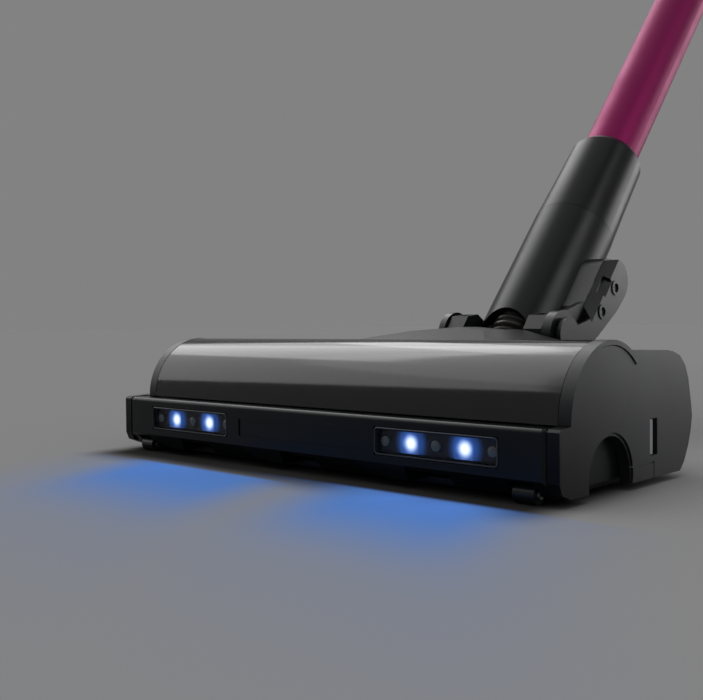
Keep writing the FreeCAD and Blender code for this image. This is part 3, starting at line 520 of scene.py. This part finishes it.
def bristle_tufts():
    """Four rows of tufts that wind along the core and meet in the middle."""
    shape = bmesh.new()
    rows, tufts_in_row, half_length, winding, thickness = 4, 62, 0.104, 1.9, 0.0003
    for row in range(rows):
        for index in range(tufts_in_row):
            x = -half_length + 2 * half_length * index / (tufts_in_row - 1)
            angle = row * math.tau / rows + (abs(x) / half_length) * winding
            for dx in (0.0, 0.0009, -0.0009):
                for turn_aside in (-0.035, 0.0, 0.035):
                    root_angle, tip_angle = angle + turn_aside * 0.6, angle + turn_aside * 1.5
                    base = []
                    for corner in range(3):
                        turn = math.tau * corner / 3
                        base.append(shape.verts.new((
                            x + dx + thickness * math.cos(turn),
                            BRUSH_Y + CORE_RADIUS * math.cos(root_angle)
                            - thickness * math.sin(turn) * math.sin(root_angle),
                            BRUSH_Z + CORE_RADIUS * math.sin(root_angle)
                            + thickness * math.sin(turn) * math.cos(root_angle))))
                    tip = shape.verts.new((x + dx * 1.6,
                                           BRUSH_Y + TIP_RADIUS * math.cos(tip_angle),
                                           BRUSH_Z + TIP_RADIUS * math.sin(tip_angle)))
                    shape.faces.new(base)
                    for corner in range(3):
                        shape.faces.new((base[corner], base[(corner + 1) % 3], tip))
    tufts = make_piece("bristle_tufts", shape, BRISTLE, "brush_roll", smooth=False)
    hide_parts("brush_bristles")


def rear_tyre(side):
    """A wheel with a grooved tyre and a dished hub, in place of the plain one."""
    low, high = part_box(f"rear_wheel_{side}")
    start, width = low.x, high.x - low.x
    radius, middle = (high.z - low.z) / 2, (high.z + low.z) / 2
    outline = [(0.0, 0.0031), (0.0, radius - 0.0045), (0.0008, radius - 0.004),
               (0.0002, radius - 0.003), (0.0002, radius - 0.0012), (0.0012, radius - 0.0001)]
    grooves = 3
    for index in range(grooves):
        centre = width * (index + 1) / (grooves + 1)
        outline += [(centre - 0.0005, radius), (centre - 0.0003, radius - 0.0008),
                    (centre + 0.0003, radius - 0.0008), (centre + 0.0005, radius)]
    outline += [(width - u, v) for u, v in outline[5::-1]]
    shape = bmesh.new()
    lathe(shape, (start, 0, middle), (1, 0, 0), outline, 48)
    tyre = make_piece(f"rear_tyre_{side}", shape, RUBBER, f"back_wheel_{side}")
    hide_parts(f"rear_wheel_{side}")


# --- neck ---------------------------------------------------------------------------------------

def ribbed_hose():
    """A bellows hose from the throat of the floor head up into the neck, bending at the hinge."""
    first, last = Vector((0, -0.004, 0.036)), upright(0, 9, 30)
    lead, tail = Vector((0, 0, 0.03)), ALONG * 0.03
    steps, turns, pitch = 110, 40, 0.0042
    narrow, rib_height, wall = 0.0112, 0.0022, 0.0014
    shape = bmesh.new()
    outer, inner = [], []
    travelled, before = 0.0, first
    for step in range(steps + 1):
        t = step / steps
        place = (2 * t ** 3 - 3 * t ** 2 + 1, t ** 3 - 2 * t ** 2 + t, -2 * t ** 3 + 3 * t ** 2,
                 t ** 3 - t ** 2)
        slope = (6 * t ** 2 - 6 * t, 3 * t ** 2 - 4 * t + 1, -6 * t ** 2 + 6 * t,
                 3 * t ** 2 - 2 * t)
        centre = first * place[0] + lead * place[1] + last * place[2] + tail * place[3]
        ahead = (first * slope[0] + lead * slope[1] + last * slope[2]
                 + tail * slope[3]).normalized()
        travelled += (centre - before).length
        before = centre
        rib = 0.5 + 0.5 * math.cos(math.tau * travelled / pitch)
        radius = narrow + rib_height * rib ** 0.6
        across = Vector((1, 0, 0))
        up = across.cross(ahead)
        out = [across * math.cos(math.tau * k / turns) + up * math.sin(math.tau * k / turns)
               for k in range(turns)]
        outer.append([centre + way * radius for way in out])
        inner.append([centre + way * (radius - wall) for way in out])
    outer, inner = ([[shape.verts.new(spot) for spot in ring] for ring in skin]
                    for skin in (outer, inner))
    bridge(shape, outer, closed_ends=False)
    bridge(shape, inner, closed_ends=False)
    bridge(shape, [outer[0], inner[0]], closed_ends=False)
    bridge(shape, [outer[-1], inner[-1]], closed_ends=False)
    hose = make_piece("ribbed_hose", shape, HOSE, None)
    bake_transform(hose)
    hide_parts("neck_hose")


# --- hand unit ----------------------------------------------------------------------------------

# Millimetres from the wand's axis to the axis of the bin and the motor.
BIN_Y = -51


def pleated_filter():
    """A ring of folded paper: a round bore and an outside that zigzags between two radii."""
    shape = bmesh.new()
    creases, bore, valley, ridge = 180, 28.2, 31.2, 40.4
    rings = []
    for z in (1005.2, 1029.8):
        for even, odd in ((bore, bore), (valley, ridge)):
            ring = []
            for k in range(creases):
                angle, radius = math.tau * k / creases, odd if k % 2 else even
                ring.append(shape.verts.new(upright(
                    radius * math.cos(angle), BIN_Y + radius * math.sin(angle), z)))
            rings.append(ring)
    low_inner, low_outer, high_inner, high_outer = rings
    bridge(shape, [low_inner, low_outer, high_outer, high_inner, low_inner], closed_ends=False)
    pleats = make_piece("pleated_filter", shape, PAPER, "wand", smooth=False)
    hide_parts("exhaust_filter")


def vent_slats():
    """A band of narrow upright slats round the motor housing, where the air leaves."""
    shape = bmesh.new()
    slats, towards_handle = 72, 0.80
    for k in range(slats):
        angle = math.tau * (k + 0.5) / slats
        if math.sin(angle) > towards_handle:
            continue
        out = Vector((math.cos(angle), math.sin(angle)))
        side = Vector((-out.y, out.x))
        loops = []
        for z, grow in ((1001, 0.0), (1003, 1.0), (1030, 1.0), (1032, 0.0)):
            loop = []
            for reach, wide in ((43.4, 1.0), (44.2 + 0.9 * grow, 0.75),
                                (44.2 + 0.9 * grow, -0.75), (43.4, -1.0)):
                spot = out * reach + side * wide
                loop.append(shape.verts.new(upright(spot.x, BIN_Y + spot.y, z)))
            loops.append(loop)
        bridge(shape, loops)
    make_piece("vent_slats", shape, DARK_GREY, "wand")


def grip_ribs():
    """Soft ribs across the back of the grip, under the palm."""
    shape = bmesh.new()
    first, last = Vector((104.2, 1010)), Vector((117.2, 944))
    run = last - first
    out = Vector((run.y, -run.x)).normalized() * -1
    ribs = 13
    for k in range(ribs):
        centre = first + run * (k + 0.5) / ribs
        loops = []
        for x, lift in ((-9.5, 0.0), (-8.3, 0.8), (8.3, 0.8), (9.5, 0.0)):
            loop = []
            for along, rise in ((-1.5, -0.4), (-1.1, lift), (1.1, lift), (1.5, -0.4)):
                spot = centre + run.normalized() * along + out * rise
                loop.append(shape.verts.new(upright(x, spot.x, spot.y)))
            loops.append(loop)
        bridge(shape, loops)
    make_piece("grip_ribs", shape, RUBBER, "wand")


def display_marks():
    """Four short bars on the display, as a charge gauge."""
    shape = bmesh.new()
    for k in range(4):
        x = -7.5 + 5 * k
        loops = []
        for z, shrink in ((1041.8, 0.0), (1042.25, 0.0), (1042.3, 0.3)):
            loops.append([shape.verts.new(upright(x + sx * (1.7 - shrink),
                                                  BIN_Y - 12 + sy * (3.2 - shrink), z))
                          for sx, sy in ((-1, -1), (1, -1), (1, 1), (-1, 1))])
        bridge(shape, loops)
    make_piece("display_marks", shape, DISPLAY_LIGHT, "wand", smooth=False)


bristle_tufts()
rear_tyre("left")
rear_tyre("right")
ribbed_hose()
pleated_filter()
vent_slats()
grip_ribs()
display_marks()

# Pieces whose edges stay as they are, and edge widths in metres that differ from the usual.
HARD_EDGED = ("wand_tube", "drive_belt", "brush_bristles", "exhaust_filter", "neck_hose",
              "impeller", "mesh_screen")
EDGE_WIDTHS = {"neck_tube": 0.0005, "neck_collar": 0.0005, "rear_housing": 0.0011,
               "top_housing": 0.0011}
USUAL_EDGE = 0.0009

for name in nodes:
    if name in HARD_EDGED:
        continue
    low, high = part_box(name)
    thinnest = min(high - low)
    soften(nodes[name], EDGE_WIDTHS.get(name, min(USUAL_EDGE, thinnest * 0.12)))


# --- stage, lights and camera -------------------------------------------------------------------

GREY = 0.2232
# Each painted pool of lamp light on the floor: its middle in x, half its width and its near edge
# in y.
PAINTED_POOLS = ((0.077, 0.026, -0.165), (-0.040, 0.032, -0.1755))


def make_stage():
    """A grey floor with the lamps' blue pools of light and the head's contact shadow painted on,
    and a grey world.
    """
    mesh = bpy.data.meshes.new("floor")
    reach = 30.0
    mesh.from_pydata([(-reach, -reach, 0), (reach, -reach, 0), (reach, reach, 0),
                      (-reach, reach, 0)], [], [(0, 1, 2, 3)])
    floor = bpy.data.objects.new("floor", mesh)
    bpy.context.scene.collection.objects.link(floor)
    graph = Graph("floor_painted_light")
    paper = graph.blend(graph.span(graph.noise(3.0), 0.0, 1.0), (0.598, 0.598, 0.598),
                        (0.602, 0.602, 0.602))
    x, y, _ = graph.axes()
    painted_pools = []
    # Painted light: a mask for each blue pool of lamp light, painted into the floor's colour and
    # glow.
    for centre, half, near in PAINTED_POOLS:
        ahead = graph.math("SUBTRACT", near, y)
        bend = graph.math("MULTIPLY", graph.math("MULTIPLY", ahead, ahead), 2.0)
        drift = graph.math("ADD", graph.math("MULTIPLY", ahead, 0.25),
                           graph.math("ADD", bend, centre))
        aside = graph.math("ABSOLUTE", graph.math("SUBTRACT", x, drift))
        start = graph.smooth(ahead, 0.0, 1.0, 0.0, 0.006)
        core = graph.math("MULTIPLY", graph.smooth(ahead, 1.0, 0.0, 0.02, 0.105),
                          graph.smooth(aside, 1.0, 0.0, half - 0.006, half + 0.032))
        painted_pool_fringe = graph.math("MULTIPLY", graph.smooth(ahead, 1.0, 0.0, 0.03, 0.22),
                            graph.smooth(aside, 1.0, 0.0, half + 0.005, half + 0.085))
        light = graph.math("ADD", graph.math("MULTIPLY", core, 0.78),
                           graph.math("MULTIPLY", painted_pool_fringe, 0.25))
        painted_pools.append(graph.math("MULTIPLY", start, light))
    painted_pool = graph.math("MAXIMUM", *painted_pools)
    # Painted shadow: the head's contact shadow, dark under and just in front of the head.
    painted_shade = graph.math("MULTIPLY", graph.smooth(y, 0.0, 1.0, -0.195, -0.166),
                       graph.smooth(graph.math("ABSOLUTE", x), 1.0, 0.0, 0.118, 0.142))
    painted_shade = graph.math("MULTIPLY", painted_shade, graph.smooth(y, 1.0, 0.0, -0.12, -0.07))
    painted_shadow_floor = graph.blend(painted_shade, paper, (0.062, 0.060, 0.058))
    # The painted shadow darkens the floor, and the painted pools tint it blue and make it glow.
    graph.link(graph.blend(painted_pool, painted_shadow_floor, (0.23, 0.48, 0.8)), "Base Color")
    graph.shader.inputs["Emission Color"].default_value = (0.0, 0.08, 1.0, 1.0)
    graph.link(graph.math("MULTIPLY", painted_pool, 0.19), "Emission Strength")
    graph.set(Roughness=0.9, Specular_IOR_Level=0.0)
    paint(floor, graph.material)
    floor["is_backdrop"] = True
    world = bpy.data.worlds.new("studio")
    world.use_nodes = True
    background = world.node_tree.nodes["Background"]
    background.inputs["Color"].default_value = (GREY, GREY, GREY, 1)
    background.inputs["Strength"].default_value = 1.0
    bpy.context.scene.world = world


def add_light(name, kind, place, target, power, color=(1, 1, 1)):
    data = bpy.data.lights.new(name, kind)
    data.energy = power
    data.color = color
    light = bpy.data.objects.new(name, data)
    light.location = place
    aim = Vector(target) - Vector(place)
    light.rotation_euler = aim.to_track_quat("-Z", "Y").to_euler()
    bpy.context.scene.collection.objects.link(light)
    return light


def soft_box(name, place, target, size, power):
    """A panel that is only seen mirrored in the glossy surfaces."""
    light = add_light(name, "AREA", place, target, power)
    light.data.shape = "RECTANGLE"
    light.data.size, light.data.size_y = size
    light.visible_diffuse = False
    return light


def make_lights():
    sun = add_light("soft_sun", "SUN", (-0.4, -0.3, 2), (0, 0, 0), 0.50)
    sun.data.angle = math.radians(70)
    left = soft_box("left_panel", (-1.5, -0.26, 1.9), (0, -0.26, 1.9), (2.3, 3.0), 31)
    slant = Quaternion((0, 0, 1), math.radians(49.7))
    left.rotation_euler = (left.rotation_euler.to_quaternion() @ slant).to_euler()
    soft_box("upper_left_panel", (-1.5, 0.55, 1.45), (0, -0.1, 0.1), (1.6, 1.0), 9)
    soft_box("right_strip", (1.25, 0.15, 0.95), (0, 0.1, 0.15), (0.5, 1.0), 6)
    soft_box("back_panel", (-1.0, 1.5, 1.9), (0, -0.1, 0.1), (1.8, 1.4), 9)
    soft_box("back_right_panel", (0.75, 1.75, 0.5), (0.1, 0, 0.1), (1.1, 0.8), 9)
    for side in (-1, 1):
        for place in LIT:
            x = side * place / 1000
            spot = add_light(f"beam_{side_name(side)}_{place}", "SPOT",
                             (x, -0.1605, LED_Z / 1000), (x + 0.02, -0.205, 0), 0.006,
                             (0.12, 0.38, 1.0))
            spot.data.spot_size = math.radians(90)
            spot.data.spot_blend = 1.0
            spot.data.shadow_soft_size = 0.002


def make_camera():
    """Close to the floor, ahead of the head's right end, looking along the wand's side."""
    turn, drop, roll = 0.756, 0.026, -0.0094
    data = bpy.data.cameras.new("camera")
    data.sensor_width = 36.0
    data.lens = 48.39
    data.clip_start = 0.01
    camera = bpy.data.objects.new("camera", data)
    ahead = Vector((-math.sin(turn) * math.cos(drop), math.cos(turn) * math.cos(drop),
                    -math.sin(drop)))
    right = ahead.cross(Vector((0, 0, 1))).normalized()
    up = right.cross(ahead)
    tilted = right * math.cos(roll) + up * math.sin(roll)
    upright_axis = up * math.cos(roll) - right * math.sin(roll)
    matrix = Matrix((tilted, upright_axis, -ahead)).transposed().to_4x4()
    matrix.translation = (0.2987, -0.4403, 0.0641)
    camera.matrix_world = matrix
    bpy.context.scene.collection.objects.link(camera)
    bpy.context.scene.camera = camera


make_stage()
make_camera()
make_lights()
bpy.context.scene.view_settings.view_transform = "Standard"

low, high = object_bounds()
